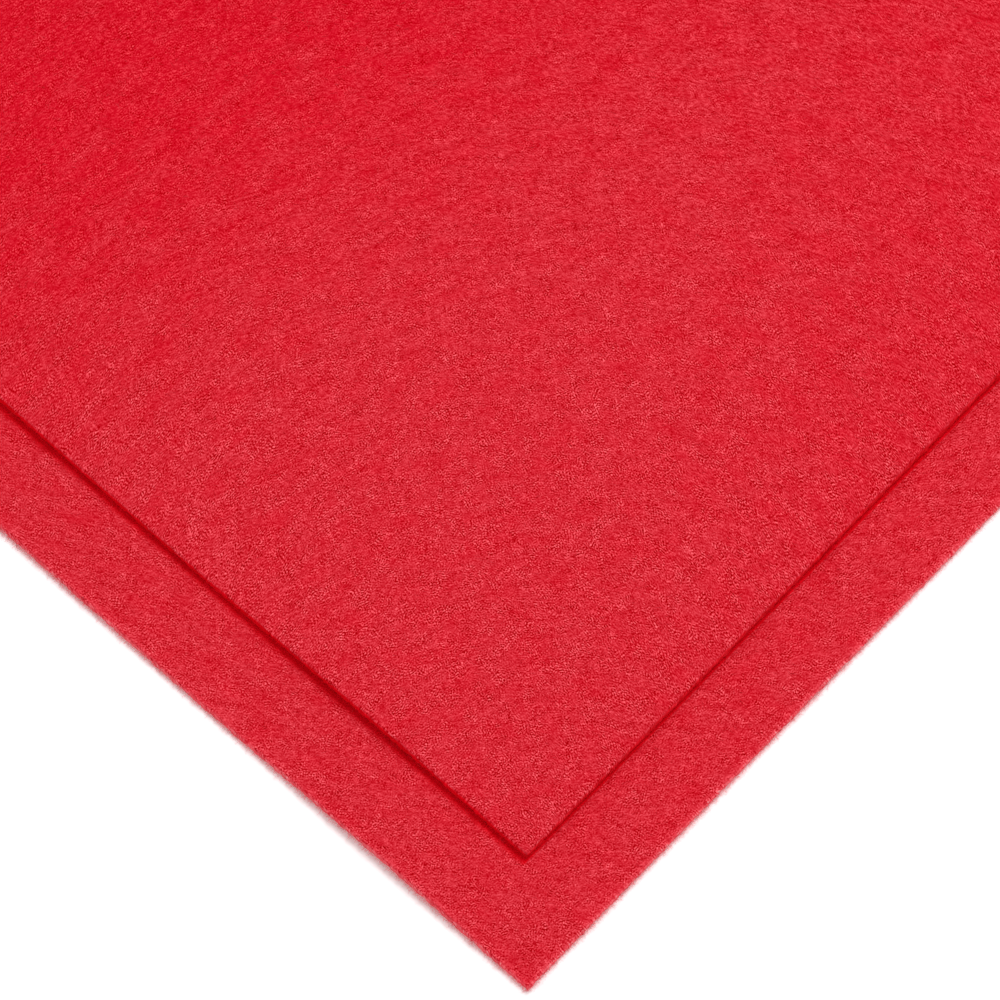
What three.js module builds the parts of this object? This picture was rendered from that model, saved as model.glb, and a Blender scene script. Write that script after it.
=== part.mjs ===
// A square of felt cut from a roll and folded corner to corner, lying on a flat surface.
//
// The fold runs along X, a little past the diagonal of the square. So the upper corner falls short of
// the lower one, and an even margin of the lower layer shows along both cut edges of the upper layer.
// Felt is thick and springy: the fold is a soft loop that stands up at the back and comes down to rest
// on the lower layer. The two corners lie at the front, towards -Y.
//
// Millimetres, +Z up. The origin is at the bottom centre of the folded cloth.

import * as THREE from "three";

// Driving dimensions.
const CUT_SIDE = 300; // the cut is as long as the roll is wide
const THICKNESS = 1.5;
const LAYER_GAP = 0.5; // air between the layers where the upper one lies on the lower one
const MARGIN = 15.5; // how far the lower layer shows past each edge of the upper one
const TIP_DRIFT = 0.6; // how far the upper corner lies to the right of the lower one

// The loop of the fold, measured on the middle of the cloth's thickness, forward from its rearmost line.
const LOOP_RISE = 18; // where the lower layer leaves the surface
const LOOP_BACK_HEIGHT = 4.9; // height of the rearmost line
const LOOP_CREST_AHEAD = 10; // where the loop is highest
const LOOP_CREST_HEIGHT = 9.2;
const LOOP_LANDING = 60; // where the upper layer comes to rest
const LOOP_SWELL = 0.09; // share by which the loop's height varies along the fold
const SWELL_LENGTH = 270; // from one swelling of the loop to the next

// The scissors wander a little along each cut edge.
const WANDER = 0.18;
const WANDER_LENGTH = 83;

// Places where the cloth doesn't lie quite flat: sideways and back from the lower corner, how far round
// the middle the lift reaches, its height there, and what it lifts.
const LIFTS = [
  { lifts: "both layers", side: -24, back: 24, reach: 33, height: 0.8 },
  { lifts: "upper layer", side: -25, back: 50, reach: 36, height: 0.6 },
  { lifts: "upper layer", side: 34, back: 74, reach: 42, height: 0.2 },
  { lifts: "upper layer", side: -70, back: 128, reach: 62, height: 0.45 },
  { lifts: "upper layer", side: 96, back: 138, reach: 66, height: 0.4 },
];

// How finely the cloth is divided: rows across each stretch of the section, and columns across a row.
const ROWS = [
  { stretch: "lower layer", rows: 15 },
  { stretch: "rise", rows: 7 },
  { stretch: "back", rows: 7 },
  { stretch: "landing", rows: 10 },
  { stretch: "upper layer", rows: 11 },
];
const COLUMNS = 20;

const DIAGONAL = CUT_SIDE * Math.SQRT2;
const TIP_SHORTFALL = MARGIN * Math.SQRT2;
const LOWER_MIDDLE = THICKNESS / 2;
const UPPER_MIDDLE = LOWER_MIDDLE + THICKNESS + LAYER_GAP;

// The loop in section: X of the path is the row frame's Y, and Y of the path is height.
function addLoop(path) {
  path.bezierCurveTo(
    -LOOP_RISE / 3, LOWER_MIDDLE,
    0, LOWER_MIDDLE + LOOP_BACK_HEIGHT / 4,
    0, LOOP_BACK_HEIGHT,
  );
  path.bezierCurveTo(
    0, (LOOP_BACK_HEIGHT + 2 * LOOP_CREST_HEIGHT) / 3,
    -LOOP_CREST_AHEAD / 2, LOOP_CREST_HEIGHT,
    -LOOP_CREST_AHEAD, LOOP_CREST_HEIGHT,
  );
  path.bezierCurveTo(
    -(2 * LOOP_CREST_AHEAD + LOOP_LANDING) / 3, LOOP_CREST_HEIGHT,
    -(LOOP_CREST_AHEAD + LOOP_LANDING) / 2, UPPER_MIDDLE,
    -LOOP_LANDING, UPPER_MIDDLE,
  );
}

// The whole section, from the lower corner to the upper one. Both flat stretches are as long as the
// diagonal of the cut leaves them, once the loop has taken its share.
function foldedSection() {
  const loop = new THREE.Path();
  loop.moveTo(-LOOP_RISE, LOWER_MIDDLE);
  addLoop(loop);
  const flat = DIAGONAL - loop.getLength();
  const lowerFlat = (flat + LOOP_LANDING - LOOP_RISE + TIP_SHORTFALL) / 2;
  const upperFlat = flat - lowerFlat;
  const section = new THREE.Path();
  section.moveTo(-LOOP_RISE - lowerFlat, LOWER_MIDDLE);
  section.lineTo(-LOOP_RISE, LOWER_MIDDLE);
  addLoop(section);
  section.lineTo(-LOOP_LANDING - upperFlat, UPPER_MIDDLE);
  return section;
}

const section = foldedSection();
const sectionLength = section.getLength();
const lowerTip = section.getPoint(0).x;

function smooth(share) {
  const t = THREE.MathUtils.clamp(share, 0, 1);
  return t * t * (3 - 2 * t);
}

// How far the cloth stands above its flat place. share is 0 at the lower corner and 1 at the upper one.
function liftAt(share, x, y) {
  const upper = share > 0.5;
  return LIFTS.filter((row) => upper || row.lifts === "both layers").reduce((sum, row) => {
    const away = Math.hypot(x - row.side, y - lowerTip - row.back);
    return sum + row.height * smooth(1 - away / row.reach);
  }, 0);
}

// The loop is fuller in some places along the fold than in others. What lies flat isn't changed.
function swelled(height, x) {
  const flatHeight = Math.min(height, UPPER_MIDDLE);
  const swell = 1 + LOOP_SWELL * Math.sin((2 * Math.PI * x) / SWELL_LENGTH);
  return flatHeight + (height - flatHeight) * swell;
}

// The row frame's place of a point of the cloth. across runs from -1 at the left cut edge to 1 at the
// right one, and side is 1 on the face inside the fold and -1 on the face outside it.
function placeOf(along, across, side) {
  const share = along / sectionLength;
  const middle = section.getPoint(share);
  const tangent = section.getTangent(share);
  const reach = Math.min(along, sectionLength - along);
  const wander = WANDER * Math.sin((2 * Math.PI * along) / WANDER_LENGTH + 2 * across);
  const x = across * (reach + wander * smooth(reach / WANDER_LENGTH)) + TIP_DRIFT * smooth(share);
  const y = middle.x - (side * tangent.y * THICKNESS) / 2;
  const height = middle.y + (side * tangent.x * THICKNESS) / 2;
  return new THREE.Vector3(x, y, swelled(height, x) + liftAt(share, x, y));
}

// Distances along the section at which the cloth has a row of points, with one at its side corners.
function rowPlaces() {
  const places = [0];
  section.curves.forEach((stretch, i) => {
    const start = places[places.length - 1];
    for (let k = 1; k <= ROWS[i].rows; k++) {
      places.push(start + (stretch.getLength() * k) / ROWS[i].rows);
    }
  });
  places.push(sectionLength / 2);
  return places.sort((a, b) => a - b);
}

// The cloth as one closed surface: its two faces, row by row, and the cut edge between them. The first
// and last rows are the two corners, where a face has a single point.
function feltGeometry() {
  const points = [];
  const addPoint = (along, across, side) => {
    points.push(placeOf(along, across, side));
    return points.length - 1;
  };
  const spread = Array.from({ length: COLUMNS + 1 }, (_, j) => (2 * j) / COLUMNS - 1);
  const addFace = (along, side, isCorner) => {
    if (!isCorner) return spread.map((across) => addPoint(along, across, side));
    const corner = addPoint(along, 0, side);
    return spread.map(() => corner);
  };
  const rows = rowPlaces().map((along, i, all) => {
    const isCorner = i === 0 || i === all.length - 1;
    return { inside: addFace(along, 1, isCorner), outside: addFace(along, -1, isCorner) };
  });

  const faces = [];
  const addTriangle = (a, b, c) => {
    if (a !== b && b !== c && c !== a) faces.push(a, b, c);
  };
  const addQuad = (a, b, c, d) => {
    addTriangle(a, b, c);
    addTriangle(a, c, d);
  };
  for (let i = 0; i + 1 < rows.length; i++) {
    const near = rows[i];
    const far = rows[i + 1];
    for (let j = 0; j < COLUMNS; j++) {
      addQuad(near.inside[j], near.inside[j + 1], far.inside[j + 1], far.inside[j]);
      addQuad(near.outside[j + 1], near.outside[j], far.outside[j], far.outside[j + 1]);
    }
    addQuad(near.inside[0], far.inside[0], far.outside[0], near.outside[0]);
    addQuad(near.outside[COLUMNS], far.outside[COLUMNS], far.inside[COLUMNS], near.inside[COLUMNS]);
  }
  const geometry = new THREE.BufferGeometry().setFromPoints(points);
  geometry.setIndex(faces);
  geometry.computeVertexNormals();
  return geometry;
}

const feltMaterial = new THREE.MeshStandardMaterial({ color: 0xd92936, roughness: 0.95, metalness: 0 });

function makeFelt() {
  const felt = new THREE.Mesh(feltGeometry(), feltMaterial);
  felt.name = "felt";
  felt.geometry.computeBoundingBox();
  const { min, max } = felt.geometry.boundingBox;
  felt.position.set(-(min.x + max.x) / 2, -(min.y + max.y) / 2, -min.z);
  return felt;
}

const foldedFelt = new THREE.Group();
foldedFelt.add(makeFelt());

export default foldedFelt;
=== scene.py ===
# %% [markdown]
# # A square of felt, folded corner to corner
#
# Felt isn't woven. Wool or viscose fibres are combed, piled up and needled until they mat into a sheet,
# so a cut of it has no threads, no hem and no right side: only a mat of short curly fibres, small pits
# between them, a pale fuzz that stands off the surface, and a cut edge that frays into single hairs.
#
# The lesson makes it the way it is made on a table. The square is cut flat, given its thickness, its
# ragged edge and its lumps, and only then folded. Everything that belongs to the cloth, its fibres too,
# is placed on the flat cut and goes through the same fold.

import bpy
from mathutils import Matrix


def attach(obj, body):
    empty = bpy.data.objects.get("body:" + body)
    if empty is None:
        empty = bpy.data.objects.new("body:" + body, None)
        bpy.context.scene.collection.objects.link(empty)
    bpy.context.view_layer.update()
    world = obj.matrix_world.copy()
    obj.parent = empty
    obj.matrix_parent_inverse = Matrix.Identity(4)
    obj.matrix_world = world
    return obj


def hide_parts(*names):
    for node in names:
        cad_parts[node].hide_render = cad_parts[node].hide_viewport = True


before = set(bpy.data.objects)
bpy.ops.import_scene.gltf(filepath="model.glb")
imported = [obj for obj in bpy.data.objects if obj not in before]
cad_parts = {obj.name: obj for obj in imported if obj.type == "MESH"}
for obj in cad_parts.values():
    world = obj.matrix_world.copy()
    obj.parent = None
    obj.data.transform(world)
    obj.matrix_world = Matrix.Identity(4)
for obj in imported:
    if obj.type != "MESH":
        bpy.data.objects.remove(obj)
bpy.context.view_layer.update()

# %% Tools used below
import math

import bmesh
import bpy
import numpy as np
from mathutils import Matrix, Vector

MM = 0.001

# %% [markdown]
# ## The camera
#
# The felt is seen from steeply above and from far off through a long lens, which keeps the parallel cut
# edges parallel. The camera's place is worked out from the lower corner of the cloth, because the view is
# composed round that corner.

# %% The camera
VIEW_ELEVATION = math.radians(66.8)
VIEW_AZIMUTH = math.radians(-2.28)
VIEW_DISTANCE = 1200 * MM
VIEW_WIDTH = 165 * MM
CORNER_TO_CENTRE = Vector((-1.02, 86.2, 0)) * MM
SENSOR = 36.0
NEAREST_SEEN = 0.1
FARTHEST_SEEN = 20

corner = min((v.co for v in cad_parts["felt"].data.vertices), key=lambda co: co.y)
view_centre = Vector((corner.x, corner.y, 0)) + CORNER_TO_CENTRE
back = Vector((
    math.sin(VIEW_AZIMUTH) * math.cos(VIEW_ELEVATION),
    -math.cos(VIEW_AZIMUTH) * math.cos(VIEW_ELEVATION),
    math.sin(VIEW_ELEVATION),
))

camera_data = bpy.data.cameras.new("camera")
camera_data.sensor_width = SENSOR
camera_data.lens = SENSOR * VIEW_DISTANCE / VIEW_WIDTH
camera_data.clip_start = NEAREST_SEEN
camera_data.clip_end = FARTHEST_SEEN
camera = bpy.data.objects.new("camera", camera_data)
camera.location = view_centre + back * VIEW_DISTANCE
camera.rotation_euler = (-back).to_track_quat("-Z", "Y").to_euler()
bpy.context.scene.collection.objects.link(camera)
bpy.context.scene.camera = camera
print("camera with a", round(camera_data.lens), "mm lens at", [round(c, 3) for c in camera.location])

# %% [markdown]
# ## The fold
#
# The section through the fold is one line: along the surface, up round a soft loop, and back down onto
# the lower layer. The line is measured once by its length, so that a point of the flat cloth finds its
# place by how far it lies from the lower corner. Cloth that is folded this way keeps its size.
#
# A cloth simulation could fold it too. A drawn section is used because it gives the same fold every time,
# and because the loose fibres can be sent through it as well.

# %% Sizes of the cut and of its fold
CUT_SIDE = 300 * MM
THICKNESS = 1.5 * MM
LAYER_GAP = 0.5 * MM
MARGIN = 15.5 * MM
TIP_DRIFT = 0.6 * MM
LOOP_RISE = 18 * MM
LOOP_BACK_HEIGHT = 4.9 * MM
LOOP_CREST_AHEAD = 10 * MM
LOOP_CREST_HEIGHT = 9.2 * MM
LOOP_LANDING = 60 * MM
LOOP_SWELL = 0.09
SWELL_LENGTH = 270 * MM

DIAGONAL = CUT_SIDE * math.sqrt(2)
TIP_SHORTFALL = MARGIN * math.sqrt(2)
HALF = THICKNESS / 2
LOWER_MIDDLE = HALF
UPPER_MIDDLE = LOWER_MIDDLE + THICKNESS + LAYER_GAP
print("from corner to corner the cut measures", round(DIAGONAL / MM, 1), "mm")

# %% Where it doesn't lie flat
# Each row gives a place sideways and back from the lower corner, how far round it the lift reaches, its
# height in the middle, and whether the lower layer lifts too.
LIFTS = [
    {"side": -24 * MM, "back": 24 * MM, "reach": 33 * MM, "height": 0.8 * MM, "both": True},
    {"side": -25 * MM, "back": 50 * MM, "reach": 36 * MM, "height": 0.6 * MM, "both": False},
    {"side": 34 * MM, "back": 74 * MM, "reach": 42 * MM, "height": 0.2 * MM, "both": False},
    {"side": -70 * MM, "back": 128 * MM, "reach": 62 * MM, "height": 0.45 * MM, "both": False},
    {"side": 96 * MM, "back": 138 * MM, "reach": 66 * MM, "height": 0.4 * MM, "both": False},
]
print("the highest lift is", max(row["height"] for row in LIFTS) / MM, "mm")

# %% The section as a line measured by its length
BEZIER_STEPS = 160


def bezier(start, first, second, end):
    """Points along a Bezier curve, without its start."""
    t = np.linspace(0, 1, BEZIER_STEPS)[1:, None]
    start, first, second, end = (np.array(p) for p in (start, first, second, end))
    return (1 - t) ** 3 * start + 3 * (1 - t) ** 2 * t * first + 3 * (1 - t) * t**2 * second + t**3 * end


def lengths_along(points):
    steps = np.linalg.norm(np.diff(points, axis=0), axis=1)
    return np.concatenate([[0], np.cumsum(steps)])


LOOP_START = (-LOOP_RISE, LOWER_MIDDLE)
LOOP_BACK = (0, LOOP_BACK_HEIGHT)
LOOP_CREST = (-LOOP_CREST_AHEAD, LOOP_CREST_HEIGHT)
LOOP_END = (-LOOP_LANDING, UPPER_MIDDLE)
loop = np.concatenate([
    [LOOP_START],
    bezier(LOOP_START, (-LOOP_RISE / 3, LOWER_MIDDLE), (0, LOWER_MIDDLE + LOOP_BACK_HEIGHT / 4), LOOP_BACK),
    bezier(
        LOOP_BACK,
        (0, (LOOP_BACK_HEIGHT + 2 * LOOP_CREST_HEIGHT) / 3),
        (-LOOP_CREST_AHEAD / 2, LOOP_CREST_HEIGHT),
        LOOP_CREST,
    ),
    bezier(
        LOOP_CREST,
        (-(2 * LOOP_CREST_AHEAD + LOOP_LANDING) / 3, LOOP_CREST_HEIGHT),
        (-(LOOP_CREST_AHEAD + LOOP_LANDING) / 2, UPPER_MIDDLE),
        LOOP_END,
    ),
])
flat_length = DIAGONAL - lengths_along(loop)[-1]
lower_flat = (flat_length + LOOP_LANDING - LOOP_RISE + TIP_SHORTFALL) / 2
upper_flat = flat_length - lower_flat
section = np.concatenate([
    [(-LOOP_RISE - lower_flat, LOWER_MIDDLE)],
    loop,
    [(-LOOP_LANDING - upper_flat, UPPER_MIDDLE)],
])
section_at = lengths_along(section)
section_turn = np.unwrap(np.arctan2(*np.diff(section, axis=0).T[::-1]))
turn_at = (section_at[1:] + section_at[:-1]) / 2
print("the section is", round(section_at[-1], 4), "m long; the cut's diagonal is", round(DIAGONAL, 4))


# %% Folding points of the flat cloth
def smooth(share):
    t = np.clip(share, 0, 1)
    return t * t * (3 - 2 * t)


def lift_at(upper, x, y):
    """How far the cloth stands above its flat place."""
    total = np.zeros_like(x)
    for row in LIFTS:
        away = np.hypot(x - row["side"], y - section[0, 0] - row["back"])
        total += np.where(upper | row["both"], row["height"] * smooth(1 - away / row["reach"]), 0)
    return total


def fold(flat):
    """flat holds rows of x, distance from the lower corner, and height above the middle of the cloth."""
    x, along, above = flat.T
    share = along / section_at[-1]
    turn = np.interp(along, turn_at, section_turn)
    ahead = np.interp(along, section_at, section[:, 0])
    height = np.interp(along, section_at, section[:, 1])
    x = x + TIP_DRIFT * smooth(share)
    y = ahead - np.sin(turn) * above
    z = height + np.cos(turn) * above
    level = np.minimum(z, UPPER_MIDDLE)
    z = level + (z - level) * (1 + LOOP_SWELL * np.sin(2 * math.pi * x / SWELL_LENGTH))
    z = z + lift_at(share > 0.5, x, y)
    row_y = y + corner.y - section[0, 0]
    on_surface = np.maximum(z, 0)
    return np.column_stack([x + corner.x, row_y, on_surface])


upper_corner = fold(np.array([[0, DIAGONAL, 0]]))[0]
print("the upper corner lies", round((upper_corner[1] - corner.y) / MM, 1), "mm behind the lower one")

# %% [markdown]
# ## The cut square
#
# Scissors leave an edge that is nearly straight, square to the faces and a little ragged. A grid gives the
# square, and its outer edges are divided again, because the eye follows a cut edge much more closely than
# the middle of a cloth. A narrow strip is inset along them, so that the rounding of the rim is smoothed
# over that strip alone and not far into the face.
#
# A Solidify modifier could give the thickness. The operator of that name is used instead, because it
# leaves real points on the rim. Then the scissors' wander, the ragged rim and the soft lumps of the mat
# are moves of the points, all still flat.

# %% Lumps of the mat
LUMP_WAVES = 40
LUMP_LENGTHS = (4.5 * MM, 26 * MM)
LUMP_HEIGHT = 0.035 * MM
lump_random = np.random.default_rng(7)


def make_waves(count, shortest, longest):
    """Plane waves in all directions, for a smooth uneven surface that never repeats."""
    length = shortest * (longest / shortest) ** lump_random.random(count)
    heading = lump_random.random(count) * 2 * math.pi
    phase = lump_random.random(count) * 2 * math.pi
    weight = (length / longest) ** 0.5
    return np.column_stack([np.cos(heading) / length, np.sin(heading) / length, phase, weight])


lump_waves = {side: make_waves(LUMP_WAVES, *LUMP_LENGTHS) for side in (-1, 1)}


def lumps(x, along, side):
    """Height of the lumps on one face of the cloth. side is 1 on the face inside the fold."""
    total = np.zeros_like(x)
    for across_rate, along_rate, phase, weight in lump_waves[side]:
        total += weight * np.sin(2 * math.pi * (x * across_rate + along * along_rate) + phase)
    return total * LUMP_HEIGHT / math.sqrt(LUMP_WAVES / 4)


print("the lumps of each face are the sum of", LUMP_WAVES, "waves")

# %% The flat square
CELLS = 192
EDGE_CUTS = 3
RIM_STRIP = 0.45 * MM
RIM_ROWS = 4


def cut_square():
    """The flat square with its thickness, its corner at the origin and its diagonal along Y."""
    bm = bmesh.new()
    bmesh.ops.create_grid(bm, x_segments=CELLS, y_segments=CELLS, size=CUT_SIDE / 2)
    bmesh.ops.inset_region(
        bm, faces=bm.faces[:], thickness=RIM_STRIP, use_boundary=True, use_even_offset=True
    )
    edge = [e for e in bm.edges if e.is_boundary]
    bmesh.ops.subdivide_edges(bm, edges=edge, cuts=EDGE_CUTS)
    bmesh.ops.triangulate(bm, faces=[f for f in bm.faces if len(f.verts) > 4])
    bmesh.ops.rotate(bm, verts=bm.verts, cent=(0, 0, 0), matrix=Matrix.Rotation(math.pi / 4, 3, "Z"))
    bmesh.ops.solidify(bm, geom=bm.faces[:], thickness=THICKNESS)
    middle = (min(v.co.z for v in bm.verts) + max(v.co.z for v in bm.verts)) / 2
    bmesh.ops.translate(bm, verts=bm.verts, vec=(0, DIAGONAL / 2, -middle))
    rim = [e for e in bm.edges if abs(e.verts[0].co.z - e.verts[1].co.z) > HALF]
    bmesh.ops.subdivide_edges(bm, edges=rim, cuts=RIM_ROWS - 1, use_grid_fill=True)
    bmesh.ops.recalc_face_normals(bm, faces=bm.faces)
    return bm


# %% Its ragged edges
RIM_ROUND = 0.3 * MM
RIM_REACH = 1.2 * MM
WANDER = 0.18 * MM
WANDER_LENGTH = 83 * MM
RAG_WAVES = 30
RAG_LENGTHS = (0.9 * MM, 5 * MM)
RAG_DEPTH = 0.03 * MM
RAG_THROUGH_RATE = 700
rag_waves = make_waves(RAG_WAVES, *RAG_LENGTHS)

# The four cut edges: the direction in from each, how far along the cloth it starts, and how far inside it
# the dense mat ends and only loose fibres are left. The first two, left and right, belong to the lower
# layer, and the other two to the upper one.
INWARD = np.array([(1, 1), (-1, 1), (1, -1), (-1, -1)]) / math.sqrt(2)
EDGE_START = np.array([0, 0, DIAGONAL, DIAGONAL])
FRAYED = np.array([0.3, 0.3, 0.3, 0.15]) * MM


def from_edges(flat):
    """Distance in from each of the four cut edges, as columns."""
    x, along = flat[:, 0], flat[:, 1]
    return x[:, None] * INWARD[:, 0] + (along[:, None] - EDGE_START) * INWARD[:, 1]


def shape_edges(flat):
    """Moves the points near a cut edge: the scissors' wander, the rounding of the rim and its rags."""
    from_edge = from_edges(flat)
    x, along, above = flat.T
    wander = WANDER * np.sin(2 * math.pi * along / WANDER_LENGTH + 2 * np.sign(x))
    reach = np.minimum(along, DIAGONAL - along)
    moved = flat.copy()
    moved[:, 0] += np.sign(x) * wander * smooth(reach / WANDER_LENGTH) * (np.abs(x) / np.maximum(reach, MM))
    corner_height = np.clip((np.abs(above) - (HALF - RIM_ROUND)) / RIM_ROUND, 0, 1)
    rounding = RIM_ROUND * (1 - np.sqrt(1 - corner_height**2))
    rags = np.zeros(len(flat))
    for across_rate, along_rate, phase, weight in rag_waves:
        waves_past = x * across_rate + along * along_rate + above * RAG_THROUGH_RATE
        rags += weight * np.sin(2 * math.pi * waves_past + phase)
    for side, direction in enumerate(INWARD):
        near = smooth(1 - from_edge[:, side] / RIM_REACH)
        moved[:, :2] += (near * (FRAYED[side] + rounding + RAG_DEPTH * rags))[:, None] * direction
    return moved


# %% The felt, cut and folded
def felt_mesh():
    """The cut square with its ragged edges and its lumps, folded. on_cloth keeps its place when flat."""
    bm = cut_square()
    mesh = bpy.data.meshes.new("felt")
    bm.to_mesh(mesh)
    bm.free()
    flat = np.empty(len(mesh.vertices) * 3)
    mesh.vertices.foreach_get("co", flat)
    flat = shape_edges(flat.reshape(-1, 3))
    raised = np.zeros(len(flat))
    for side in (-1, 1):
        on_face = np.clip(side * flat[:, 2] / HALF, 0, 1)
        raised += side * on_face * lumps(flat[:, 0], flat[:, 1], side)
    flat[:, 2] += raised
    place = mesh.attributes.new("on_cloth", "FLOAT_VECTOR", "POINT")
    place.data.foreach_set("vector", (flat / MM).ravel())
    mesh.vertices.foreach_set("co", fold(flat).ravel())
    mesh.shade_smooth()
    mesh.update()
    return mesh


felt = bpy.data.objects.new("felt_cloth", felt_mesh())
bpy.context.scene.collection.objects.link(felt)
print("the felt has", sum(len(p.vertices) - 2 for p in felt.data.polygons), "triangles")

# %% [markdown]
# ## Shader arithmetic
#
# A pattern for felt is mostly arithmetic on noise. The nodes could be added and linked one by one, but the
# sums would be hard to read. So a small class wraps a shader socket, and a sum or a product written in
# Python becomes the Math nodes that work it out.


# %% A socket that Python can calculate with
class Signal:
    """A value on its way through a material's nodes."""

    def __init__(self, tree, socket=None):
        self.tree = tree
        self.socket = socket

    def node(self, kind, sockets, output=0, **settings):
        """Adds a node: its settings first, then the values or links of its sockets."""
        made = self.tree.nodes.new(kind)
        for name, value in settings.items():
            if name == "stops":
                set_stops(made.color_ramp, value)
            else:
                setattr(made, name, value)
        plug(made, sockets)
        return Signal(self.tree, made.outputs[output])

    def math(self, operation, first, second=0.0):
        return self.node("ShaderNodeMath", {0: first, 1: second}, operation=operation)

    def __add__(self, other):
        return self.math("ADD", self, other)

    def __sub__(self, other):
        return self.math("SUBTRACT", self, other)

    def __rsub__(self, other):
        return self.math("SUBTRACT", other, self)

    def __mul__(self, other):
        return self.math("MULTIPLY", self, other)

    __radd__ = __add__
    __rmul__ = __mul__

    def larger(self, other):
        return self.math("MAXIMUM", self, other)

    def smaller(self, other):
        return self.math("MINIMUM", self, other)

    def size(self):
        return self.math("ABSOLUTE", self)

    def parts(self):
        """The three parts of a vector."""
        separate = self.node("ShaderNodeSeparateXYZ", {"Vector": self}).socket.node
        return [Signal(self.tree, part) for part in separate.outputs]

    def smooth_step(self, low, high):
        """0 below low, 1 above high and a soft curve between them."""
        sockets = {"Value": self, "From Min": low, "From Max": high}
        return self.node("ShaderNodeMapRange", sockets, interpolation_type="SMOOTHSTEP")


# %% Helpers for nodes and materials
def plug(node, sockets):
    """Gives the sockets of a node their values or links."""
    for name, value in sockets.items():
        socket = node.inputs[name] if isinstance(name, int) else find_socket(node, name)
        if isinstance(value, Signal):
            value.tree.links.new(value.socket, socket)
        else:
            socket.default_value = value


def find_socket(node, name):
    """The Mix node has sockets of the same name for each kind of data, and one of them is in use."""
    return next(socket for socket in node.inputs if socket.name == name and socket.enabled)


def new_material(name):
    """A material, a signal to start its patterns from, and its shader."""
    material = bpy.data.materials.new(name)
    material.use_nodes = True
    tree = material.node_tree
    return material, Signal(tree), tree.nodes["Principled BSDF"]


def set_stops(ramp, stops):
    """stops is a list of a position and a colour."""
    while len(ramp.elements) > 1:
        ramp.elements.remove(ramp.elements[-1])
    for i, (position, colour) in enumerate(stops):
        element = ramp.elements[0] if i == 0 else ramp.elements.new(position)
        element.position = position
        element.color = (*colour, 1)


# %% [markdown]
# ## The felt's finish
#
# Short fibres cross in every direction, but a little more of them lie the way the combs pulled them.
# That way follows wide arcs round a point just past the upper corner. Distance from that point takes the
# place of distance along the cloth, and then every pattern below follows the arcs. A painted texture
# would have to be huge to be sharp up close, or else repeat, so the mat is built from noise.
#
# Three kinds of pattern make the mat. Gabor noise gives the strands: it scatters small groups of parallel
# waves over the surface, and each group may run its own way. The curls are thin light lines where plain
# noise passes its middle value. The wisps, wider and longer, are stretched noise. Strands and curls are
# crisp in some spots and faint in others, as the nap lies. The sum gives the colour: painted shade, deep
# red, in the pits, and a painted highlight, pale, where a fibre catches the light.
#
# The pattern follows the flat cloth through an attribute. Height is mixed into both directions, so that
# the fibres on the cut face don't turn into upright stripes.

# %% The way the fibres lie
ARC_MIDDLE_X = -5
ARC_MIDDLE_ALONG = DIAGONAL / MM + 25


def heading_of_lay(x, along):
    """The direction of the arc through a place, in radians. The place is in metres."""
    return np.arctan2(x / MM - ARC_MIDDLE_X, ARC_MIDDLE_ALONG - along / MM)


def on_cloth(start):
    """Place on the flat cloth in millimetres."""
    return start.node("ShaderNodeAttribute", {}, output=1, attribute_name="on_cloth")


def along_the_lay(start, place):
    """Place on the cloth with distance from the middle of the arcs instead of distance along it."""
    x, along, above = place.parts()
    aside = x - ARC_MIDDLE_X
    short_of = ARC_MIDDLE_ALONG - along
    squares = aside * aside + short_of * short_of
    from_middle = squares.math("SQRT", squares)
    return start.node("ShaderNodeCombineXYZ", {"X": x + above, "Y": from_middle + above})


def noise(start, place, scale, detail=0.0, output=0):
    """Smooth noise. Its output 0 is a number, and 1 is a vector."""
    sockets = {"Vector": place, "Scale": scale, "Detail": detail}
    return start.node("ShaderNodeTexNoise", sockets, output=output)


# %% Strands, curls and wisps
# Spacings, sizes and lengths are in millimetres, and turns in radians. A curl's width is how far the noise
# may be from its middle value.
STRANDS = [
    {"spacing": 0.40, "side_by_side": 3.0, "strength": 1.6},
    {"spacing": 0.50, "side_by_side": 2.8, "strength": 1.1},
]
CURLS = [
    {"size": 0.70, "width": 0.07, "share": 0.2, "strength": 0.35},
    {"size": 0.45, "width": 0.07, "share": 0.2, "strength": 0.35},
]
SAME_WAY = 0.1
STRAND_TURN = -0.17
WISPS = {"length": 0.9, "width": 0.42, "turn": 0.0, "strength": 1.05}
LONG_WISPS = {"length": 4.5, "width": 1.5, "turn": 0.25, "strength": 0.38}
WISP_DETAIL = 3.0


def strands(start, place, row):
    """Small groups of fibres that lie side by side."""
    waves = start.node("ShaderNodeTexGabor", {
        "Vector": place,
        "Scale": 1 / (row["spacing"] * row["side_by_side"]),
        "Frequency": row["side_by_side"],
        "Anisotropy": SAME_WAY,
        "Orientation": math.pi / 2 + STRAND_TURN,
    })
    return (waves - 0.5) * row["strength"]


def curls(start, place, row):
    """Thin light lines, where noise passes its middle value. share, their mean, is taken off again."""
    off_line = (noise(start, place, 1 / row["size"]) - 0.5).size()
    line = (row["width"] - off_line).larger(0) * (1 / row["width"])
    return (line - row["share"]) * row["strength"]


def wisps(start, place, row):
    """Noise drawn out along the lay, or at a turn to it."""
    stretched = start.node(
        "ShaderNodeMapping",
        {"Vector": place, "Rotation": (0, 0, row["turn"]), "Scale": (row["length"], row["width"], 1)},
        vector_type="TEXTURE",
    )
    return (noise(start, stretched, 1.0, detail=WISP_DETAIL) - 0.5) * row["strength"]


# %% Strands, curls and wisps together
BEND = 0.15
BENDS_A_MM = 1.4
SOFT_WISPS = 0.7
CRISP_SPOT = 3.0
CRISP_FROM = 0.3
CRISP_TO = 0.7
CRISP_LEAST = 0.45
CRISP_MOST = 1.6
PIT_DEPTH = 0.04


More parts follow.
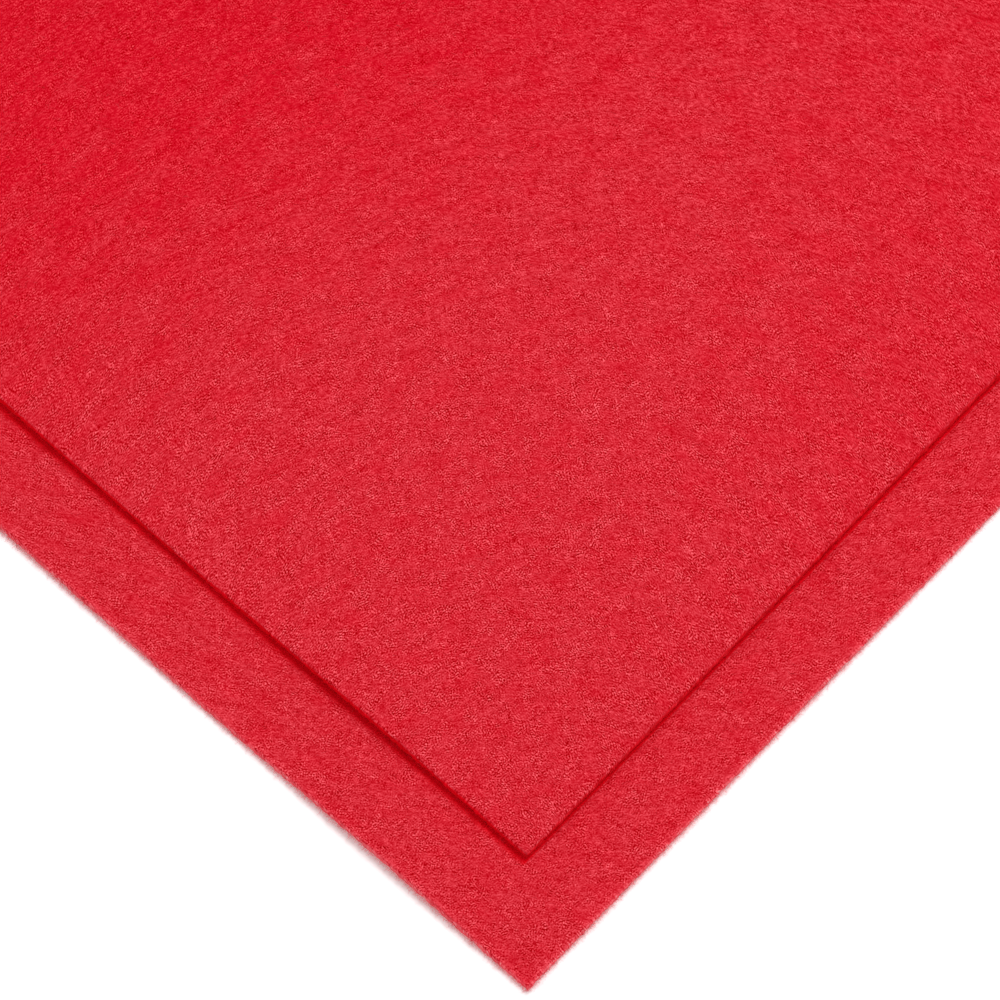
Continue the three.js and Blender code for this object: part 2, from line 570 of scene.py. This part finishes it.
def fibre_mat(start, lay, softness):
    """Height of the mat above its middle, and the height of its wisps alone, for the bump."""
    sway = noise(start, lay, BENDS_A_MM, output=1)
    sway = start.node("ShaderNodeVectorMath", {0: sway, 1: (0.5, 0.5, 0.5)}, operation="SUBTRACT")
    sway = start.node("ShaderNodeVectorMath", {0: sway, "Scale": 2 * BEND}, operation="SCALE")
    bent = start.node("ShaderNodeVectorMath", {0: lay, 1: sway}, operation="ADD")
    matted = (wisps(start, bent, WISPS) + wisps(start, lay, LONG_WISPS)) * (1 + softness * SOFT_WISPS)
    combed = strands(start, bent, STRANDS[0]) + strands(start, bent, STRANDS[1])
    curled = curls(start, bent, CURLS[0]) + curls(start, lay, CURLS[1])
    in_spot = noise(start, lay, 1 / CRISP_SPOT, detail=WISP_DETAIL).smooth_step(CRISP_FROM, CRISP_TO)
    crispness = (in_spot * (CRISP_MOST - CRISP_LEAST) + CRISP_LEAST) * (1 - softness)
    return (combed + curled - PIT_DEPTH) * crispness + matted, matted


# %% [markdown]
# Red felt looks deepest where light reaches it only by way of other red felt: on the cut face of the
# upper layer, and on the lower layer close beside it, more so on the left, away from the light. The cut
# face of the lower layer is the opposite. It stands in the open on a pale surface, and its loose fibre
# ends let light through, so the rim above it is a little paler too.
#
# Traced light does a part of this, but it can't pass through the loose mat, so masks paint the rest into
# the colour: painted shade on the upper layer's cut face and on the lower layer beside it, and painted
# light on the lower layer's cut face and rim. Their distances come from the place on the cloth, because
# the cut edges of both layers are straight lines there.

# %% Where the layers shade each other
SHADE_LEFT = 1.25
SHADE_RIGHT = 0.28
RIGHT_FACE = 0.6
RIGHT_BLEND = 5
RIM_WIDTH = 1.8
FACE_HEIGHT = HALF / MM
FACE_FROM = 0.1 * FACE_HEIGHT
FACE_TO = 0.4 * FACE_HEIGHT
FOLD_LINE = DIAGONAL / 2 / MM
FOLD_BLEND = 20


def painted_shade_and_light(start, place):
    """Three masks: painted shade by the upper layer, painted light on the lower layer's cut face, and on
    its rim.
    """
    x, along, above = place.parts()
    drift = TIP_DRIFT / math.sqrt(2)
    past_left = (along + x) * math.sqrt(0.5) - (MARGIN + drift) / MM
    past_right = (along - x) * math.sqrt(0.5) - (MARGIN - drift) / MM
    beside = past_left.smooth_step(-SHADE_LEFT, 0) * past_right.smooth_step(-SHADE_RIGHT, 0)
    on_top = above.smooth_step(0, FACE_HEIGHT / 2)
    from_cut = (along + x).smaller(along - x) * math.sqrt(0.5)
    cut_face = (FACE_HEIGHT - above.size()).smooth_step(FACE_FROM, FACE_TO)
    lower = (FOLD_LINE - along).smooth_step(0, FOLD_BLEND)
    upper = (along - FOLD_LINE).smooth_step(0, FOLD_BLEND)
    # Painted light along the lower layer's rim, where light would come through its loose fibre ends.
    rim = (RIM_WIDTH - from_cut).smooth_step(0, RIM_WIDTH) * lower
    right_face = 1 - x.smooth_step(-RIGHT_BLEND, RIGHT_BLEND) * (1 - RIGHT_FACE)
    # Painted shade: the lower layer beside the upper one, and the upper layer's cut face, less on the
    # right.
    painted_shade = (beside * on_top * lower).larger(cut_face * upper * right_face)
    return painted_shade, cut_face * lower, rim


# %% [markdown]
# Round the upper corner the red carries a painted sheen and is a little milky. Away from it, to the left
# and towards the fold, the painted sheen fades, and in patches of tone that differs at random the felt
# turns to a clearer and deeper red. There its fine pattern is softer, and its wisps show more.
#
# One colour ramp with a tint over it would be simpler. But the two reds differ less in their palest fibres
# than elsewhere, so each has a ramp of its own, and a mask mixes them.

# %% The two reds, from the pits to the palest fibres
# Both ramps paint light and shade into the colour: painted shade in the pits, and at the pale end the
# fibres' painted highlight with the whitish haze of a painted reflection.
MILKY_SHEEN_RED = [
    (0.0, (0.32, 0.0, 0.0)),
    (0.2, (0.41, 0.0, 0.002)),
    (0.35, (0.52, 0.005, 0.014)),
    (0.5, (0.64, 0.0225, 0.037)),
    (0.8, (0.90, 0.083, 0.112)),
    (1.0, (1.0, 0.150, 0.180)),
]
CLEAR_NAP = [
    (0.0, (0.37, 0.0, 0.0)),
    (0.2, (0.46, 0.0, 0.002)),
    (0.35, (0.56, 0.0015, 0.010)),
    (0.5, (0.635, 0.0055, 0.020)),
    (0.8, (0.88, 0.045, 0.068)),
    (1.0, (0.98, 0.090, 0.115)),
]
print("red runs from", MILKY_SHEEN_RED[0][1][0], "in the pits to", MILKY_SHEEN_RED[-1][1][0], "in the palest fibres")

# %% Where the sheen is painted
CLEAR_FROM = 85
CLEAR_TO = 160
CLEAR_LEAN = 0.5
CLEAR_RIGHT = 0.35
RIGHT_FROM = 10
RIGHT_TO = 80
SOFT_FROM = 60
SOFT_TO = 160
SOFTNESS = 0.6
CLEAR_CRISP = 0.35
LOWER_SOFTNESS = 0.22


def painted_sheen_and_softness(place):
    """How far the red is clear of painted sheen and how soft the pattern, both least round the upper
    corner.
    """
    x, along, _ = place.parts()
    from_corner = DIAGONAL / MM - along
    leaning = from_corner * math.cos(CLEAR_LEAN) - x * math.sin(CLEAR_LEAN)
    to_the_left = leaning.smooth_step(CLEAR_FROM, CLEAR_TO)
    to_the_right = x.smooth_step(RIGHT_FROM, RIGHT_TO) * from_corner.smooth_step(RIGHT_FROM, RIGHT_TO)
    upper = (along - FOLD_LINE).smooth_step(-FOLD_BLEND, FOLD_BLEND)
    clear = to_the_left.larger(to_the_right * CLEAR_RIGHT) * upper
    softness = from_corner.smooth_step(SOFT_FROM, SOFT_TO) * SOFTNESS * (1 - clear * CLEAR_CRISP)
    return clear, LOWER_SOFTNESS + (softness - LOWER_SOFTNESS) * upper


# %% The felt's material
TONE_RANGE = 0.65
# Painted shade and light: the shade's tint and how it calms the pattern, then the lower rim's and cut
# face's light.
PAINTED_SHADE_TINT = (1.32, 0.10, 0.30)
PAINTED_SHADE_CALM = 0.6
RIM_LIGHT = 0.16
PAINTED_EDGE_LIGHT_TINT = (1.35, 2.8, 2.4)
CLEAR_PATCHES = {"length": 7.0, "width": 4.0, "turn": 0.25, "strength": 1.7}
CLEAR_LEAST = 0.15
BUMP_STRENGTH = 0.15
BUMP_HEIGHT = 0.06 * MM


def mix_colours(start, share, first, second, blend="MIX"):
    """Two colours mixed or multiplied by a share. No part of the result passes 1."""
    sockets = {"Factor": share, "A": first, "B": second}
    settings = {"data_type": "RGBA", "blend_type": blend, "clamp_result": True}
    return start.node("ShaderNodeMix", sockets, output=2, **settings)


def felt_material():
    material, start, shader = new_material("red_felt")
    place = on_cloth(start)
    lay = along_the_lay(start, place)
    clear, softness = painted_sheen_and_softness(place)
    # Painted sheen: the milky red round the upper corner fades away from it, broken up by random patches.
    patchy = clear * (1 - CLEAR_LEAST) + CLEAR_LEAST + wisps(start, lay, CLEAR_PATCHES)
    mat, matted = fibre_mat(start, lay, softness)
    painted_shade, painted_edge_light, rim = painted_shade_and_light(start, place)
    # Painted shade calms the pattern, and painted light lifts the tone along the lower layer's rim.
    tone = mat * TONE_RANGE * (1 - painted_shade * PAINTED_SHADE_CALM) + rim * RIM_LIGHT + 0.5
    # The first ramp is the red with painted sheen, the second the clear red.
    raised = start.node("ShaderNodeValToRGB", {"Fac": tone}, stops=MILKY_SHEEN_RED)
    clear_red = start.node("ShaderNodeValToRGB", {"Fac": tone}, stops=CLEAR_NAP)
    colour = mix_colours(start, patchy, raised, clear_red)
    # Painted shade: where the layers would shade each other, the red turns deeper and darker.
    colour = mix_colours(start, painted_shade, colour, (*PAINTED_SHADE_TINT, 1), "MULTIPLY")
    # Painted light: the lower layer's cut face is tinted paler and pinker, as if lit through its loose
    # ends.
    colour = mix_colours(start, painted_edge_light, colour, (*PAINTED_EDGE_LIGHT_TINT, 1), "MULTIPLY")
    relief = {"Height": matted, "Strength": BUMP_STRENGTH, "Distance": BUMP_HEIGHT}
    bump = start.node("ShaderNodeBump", relief)
    # The fibres' reflection is painted into the ramps, so the shader's specular is off.
    plug(shader, {
        "Base Color": colour,
        "Roughness": 0.95,
        "Normal": bump,
        "Specular IOR Level": 0.0,
        "Sheen Weight": 0.02,
        "Sheen Roughness": 0.5,
        "Sheen Tint": (1.0, 0.4, 0.4, 1.0),
    })
    return material


felt.data.materials.append(felt_material())
print("the felt's material has", len(felt.data.materials[0].node_tree.nodes), "nodes")

# %% [markdown]
# ## Loose fibres
#
# A pattern can't stand off the cloth. So the fibres that do are real: thin three-sided hairs that rise
# out of the mat, run along it in a curl and dip back in, and at the cut edges hairs that stick out.
# They are laid on the flat cut too and then folded with it.
#
# Blender's hair could grow them, but plain meshes go through the fold and stay with the model wherever it
# is used. There are nearly a hundred thousand fibres, so their points and faces are worked out all at
# once as arrays, which takes a second or two.

# %% One fibre's shape, repeated
SIDES = 3


def fibre_points(start, heading, bend, length, lift, radius, segments):
    """Points of many fibres at once, flat. Each is a tip, rings of three points, and a tip again."""
    count = len(length)
    t = np.linspace(0, 1, segments + 1)
    middle = (t[1:] + t[:-1]) / 2
    angle = heading[:, None] + bend[:, None] * (middle - 0.5)
    step = (length / segments)[:, None]
    line = np.zeros((count, segments + 1, 3))
    line[:, 1:, 0] = np.cumsum(np.cos(angle) * step, axis=1)
    line[:, 1:, 1] = np.cumsum(np.sin(angle) * step, axis=1)
    line[:, :, 2] = lift(t)
    line[:, :, :2] -= line[:, :, :2].mean(axis=1, keepdims=True)
    line += start[:, None, :]
    rings = line[:, 1:-1]
    sideways = np.stack([-np.sin(angle), np.cos(angle)], axis=2)
    sideways = (sideways[:, 1:] + sideways[:, :-1]) / 2
    points = [line[:, :1]]
    for k in range(SIDES):
        turn = 2 * math.pi * k / SIDES + math.pi / 2
        ring = rings.copy()
        ring[:, :, :2] += sideways * (radius[:, None, None] * math.cos(turn))
        ring[:, :, 2] += radius[:, None] * math.sin(turn)
        points.append(ring)
    points.append(line[:, -1:])
    return np.concatenate(points, axis=1)


def fibre_faces(segments):
    """Triangles of one fibre, in the order of fibre_points."""
    rings = segments - 1
    last = 1 + SIDES * rings
    faces = []
    for k in range(SIDES):
        this = 1 + k * rings
        following = 1 + (k + 1) % SIDES * rings
        faces.append((0, following, this))
        faces.append((last, this + rings - 1, following + rings - 1))
        for i in range(rings - 1):
            faces.append((this + i, following + i, following + i + 1))
            faces.append((this + i, following + i + 1, this + i + 1))
    return np.array(faces)


# %% Many fibres as one piece
def fibre_piece(name, points, segments, materials):
    """One mesh of all the fibres, each in one of the materials."""
    count, each = points.shape[:2]
    shape = fibre_faces(segments)
    faces = (shape[None] + np.arange(count)[:, None, None] * each).reshape(-1, 3)
    mesh = bpy.data.meshes.new(name)
    mesh.vertices.add(count * each)
    mesh.vertices.foreach_set("co", fold(points.reshape(-1, 3)).ravel())
    mesh.loops.add(faces.size)
    mesh.loops.foreach_set("vertex_index", faces.ravel())
    mesh.polygons.add(len(faces))
    mesh.polygons.foreach_set("loop_start", np.arange(0, faces.size, 3))
    mesh.polygons.foreach_set("loop_total", np.full(len(faces), 3))
    finish = np.arange(count) % len(materials)
    mesh.polygons.foreach_set("material_index", np.repeat(finish, len(shape)))
    for material in materials:
        mesh.materials.append(material)
    mesh.update(calc_edges=True)
    mesh.shade_smooth()
    piece = bpy.data.objects.new(name, mesh)
    bpy.context.scene.collection.objects.link(piece)
    print(name, "has", count, "fibres and", len(faces), "triangles")
    return piece


# %% Finishes of the loose fibres
# pale and tip are painted light, for a paler, pinker fuzz on the lower cut edges; deep is painted shade.
FIBRE_REDS = {
    "deep": (0.86, 0.006, 0.016),
    "red": (0.72, 0.012, 0.024),
    "light": (0.94, 0.055, 0.080),
    "pale": (1.0, 0.085, 0.115),
    "tip": (1.0, 0.250, 0.280),
}


def fibre_material(name, colour):
    material, _, shader = new_material(name)
    plug(shader, {
        "Base Color": (*colour, 1),
        "Roughness": 0.9,
        "Specular IOR Level": 0.0,
    })
    return material


fibre = {name: fibre_material("fibre_" + name, colour) for name, colour in FIBRE_REDS.items()}
print("fibre finishes:", ", ".join(fibre))

# %% [markdown]
# The surface fibres cover what shows from above and behind: the whole outer face of the upper layer and
# the margin of the lower layer that shows past it. The underside gets a thin scatter.

# %% Places for the surface fibres
OFF_THE_EDGE = 0.4 * MM
UNDER_THE_UPPER = 3 * MM
TRIES_A_FIBRE = 4
random = np.random.default_rng(21)


def spots(count, side, shown):
    """Random places on one face of the flat cut, among those that shown keeps."""
    kept = np.zeros((0, 2))
    while len(kept) < count:
        u, v = random.random((2, TRIES_A_FIBRE * count)) * CUT_SIDE
        place = np.column_stack([(u - v) / math.sqrt(2), (u + v) / math.sqrt(2)])
        from_edge = np.minimum(np.minimum(u, v), CUT_SIDE - np.maximum(u, v))
        kept = np.concatenate([kept, place[shown(place[:, 1], from_edge)]])
    place = kept[:count]
    return np.column_stack([place, side * (HALF + lumps(*place.T, side))])


def on_upper(along, from_edge):
    return (along > DIAGONAL / 2) & (from_edge > OFF_THE_EDGE)


def underneath(along, from_edge):
    return (along < DIAGONAL / 2) & (from_edge > OFF_THE_EDGE)


def on_margin(along, from_edge):
    return underneath(along, from_edge) & (from_edge < MARGIN + UNDER_THE_UPPER)


# %% Surface fibres
SURFACE_SEGMENTS = 3
SURFACE_LENGTH = (0.8 * MM, 2.0 * MM)
SURFACE_RISE = (0.05 * MM, 0.14 * MM)
SURFACE_SINK = 0.05 * MM
SURFACE_RADIUS = (0.018 * MM, 0.034 * MM)
SURFACE_BEND = 1.5
LAY_SCATTER = 0.9


def surface_fibres(name, spread):
    """spread lists a count, a face and what to cover there."""
    groups = []
    for count, side, shown in spread:
        start = spots(count, side, shown)
        length = random.uniform(*SURFACE_LENGTH, count)
        rise = random.uniform(*SURFACE_RISE, count)

        def lift(t):
            return side * (np.sin(math.pi * t)[None, :] * rise[:, None] - SURFACE_SINK)

        groups.append(fibre_points(
            start,
            heading_of_lay(*start[:, :2].T) + random.normal(0, LAY_SCATTER, count),
            random.normal(0, SURFACE_BEND, count),
            length,
            lift,
            random.uniform(*SURFACE_RADIUS, count),
            SURFACE_SEGMENTS,
        ))
    return fibre_piece(name, np.concatenate(groups), SURFACE_SEGMENTS, [fibre["red"], fibre["light"]])


fibres = [
    surface_fibres("surface_fibres_1", [
        (13500, -1, on_upper),
        (2500, 1, on_margin),
    ]),
    surface_fibres("surface_fibres_2", [
        (11500, -1, on_upper),
        (2500, 1, on_margin),
        (2000, -1, underneath),
    ]),
]

# %% [markdown]
# At the cut edge the fibres stick straight out of the rim or lean along it. Most are short and a few are
# long, which a gamma distribution gives. They are much finer than the surface fibres, and there are twice
# as many, because together they are the soft outline of the cloth.

# %% Edge fibres
EDGE_SEGMENTS = 2
EDGE_SHORTEST = 0.15 * MM
EDGE_SHAPE = 3.0
EDGE_SCALE = 0.24 * MM
EDGE_RADIUS = (0.006 * MM, 0.011 * MM)
EDGE_LEAN = 0.95
EDGE_BEND = 1.2
EDGE_TILT = 0.25
ROOT_DEPTH = 0.15 * MM
ROOT_SHARE = 0.42
TILT_SHARE = 0.3
FACE_SHARE = 0.95


def edge_fibres(name, count, sides, materials):
    """Fibres along the cut edges in sides. The lower layer has sides 0 and 1, and the upper one 2 and 3."""
    side = random.choice(sides, size=count)
    run = random.random(count) * CUT_SIDE
    inward = INWARD[side]
    along_edge = np.column_stack([inward[:, 0], -inward[:, 1]])
    length = random.gamma(EDGE_SHAPE, EDGE_SCALE, count) + EDGE_SHORTEST
    lean = random.normal(0, EDGE_LEAN, count)
    out = -inward * np.cos(lean)[:, None] - along_edge * np.sin(lean)[:, None]
    root = FRAYED[side] + random.uniform(0, ROOT_DEPTH, count)
    centre = -along_edge * run[:, None] + inward * root[:, None] + out * (ROOT_SHARE * length)[:, None]
    centre[:, 1] += EDGE_START[side]
    above = random.uniform(-FACE_SHARE, FACE_SHARE, count) * HALF
    tilt = random.normal(0, EDGE_TILT, count) * length

    def lift(t):
        return tilt[:, None] * (t[None, :] - TILT_SHARE)

    points = fibre_points(
        np.column_stack([centre, above]),
        np.arctan2(out[:, 1], out[:, 0]),
        random.normal(0, EDGE_BEND, count),
        length,
        lift,
        random.uniform(*EDGE_RADIUS, count),
        EDGE_SEGMENTS,
    )
    return fibre_piece(name, points, EDGE_SEGMENTS, materials)


fibres += [
    # The lower edges' fuzz is painted light, and the upper edges' fibres carry the painted shade's deep
    # red.
    edge_fibres("left_edge_fibres", 23000, (0,), [fibre["pale"], fibre["tip"]]),
    edge_fibres("right_edge_fibres", 23000, (1,), [fibre["pale"], fibre["tip"]]),
    edge_fibres("upper_edge_fibres", 20000, (2, 3), [fibre["deep"]]),
]

# %% [markdown]
# ## Light and floor
#
# Felt is lit softly, from the upper right and high up, with a bright pale surface all round it. The
# shadows under the cut edges stay narrow, and they are a little wider on the left. A wide area light would
# do alone, but a sky that grows brighter upwards fills those shadows evenly from every side.

# %% The floor
FLOOR_SIZE = 6.0
FLOOR_GLOW = 0.16
bm = bmesh.new()
bmesh.ops.create_grid(bm, x_segments=1, y_segments=1, size=FLOOR_SIZE / 2)
floor_mesh = bpy.data.meshes.new("floor")
bm.to_mesh(floor_mesh)
bm.free()
floor = bpy.data.objects.new("floor", floor_mesh)
bpy.context.scene.collection.objects.link(floor)
floor_material, _, floor_shader = new_material("pale_floor")
plug(floor_shader, {
    "Base Color": (0.92, 0.92, 0.92, 1),
    "Roughness": 1.0,
    "Specular IOR Level": 0.0,
    "Emission Color": (1, 1, 1, 1),
    "Emission Strength": FLOOR_GLOW,
})
floor_mesh.materials.append(floor_material)
print("the floor is", FLOOR_SIZE, "m wide")

# %% The sky
SKY_LOW = 0.4
SKY_HIGH = 0.7

world = bpy.data.worlds.new("soft_light")
world.use_nodes = True
sky = Signal(world.node_tree)
direction = sky.node("ShaderNodeTexCoord", {})
upward = sky.node("ShaderNodeSeparateXYZ", {"Vector": direction}, output=2)
plug(world.node_tree.nodes["Background"], {
    "Color": (1, 1, 1, 1),
    "Strength": sky.node("ShaderNodeMapRange", {"Value": upward, "To Min": SKY_LOW, "To Max": SKY_HIGH}),
})
bpy.context.scene.world = world
print("the sky's strength runs from", SKY_LOW, "to", SKY_HIGH)

# %% The key light
KEY_POWER = 8.1
KEY_SIZE = 0.53
KEY_PLACE = Vector((0.30, 0.27, 1.13))

key_data = bpy.data.lights.new("key", "AREA")
key_data.size = KEY_SIZE
key_data.energy = KEY_POWER
key = bpy.data.objects.new("key", key_data)
key.location = KEY_PLACE
key.rotation_euler = (-KEY_PLACE).to_track_quat("-Z", "Y").to_euler()
bpy.context.scene.collection.objects.link(key)
bpy.context.scene.view_settings.view_transform = "Standard"
print("the key light gives", KEY_POWER, "W from", round(KEY_PLACE.length, 2), "m away")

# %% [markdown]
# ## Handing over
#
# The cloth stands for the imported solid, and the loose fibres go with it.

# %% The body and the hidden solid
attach(felt, "root")
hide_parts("felt")
for piece in fibres:
    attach(piece, "root")
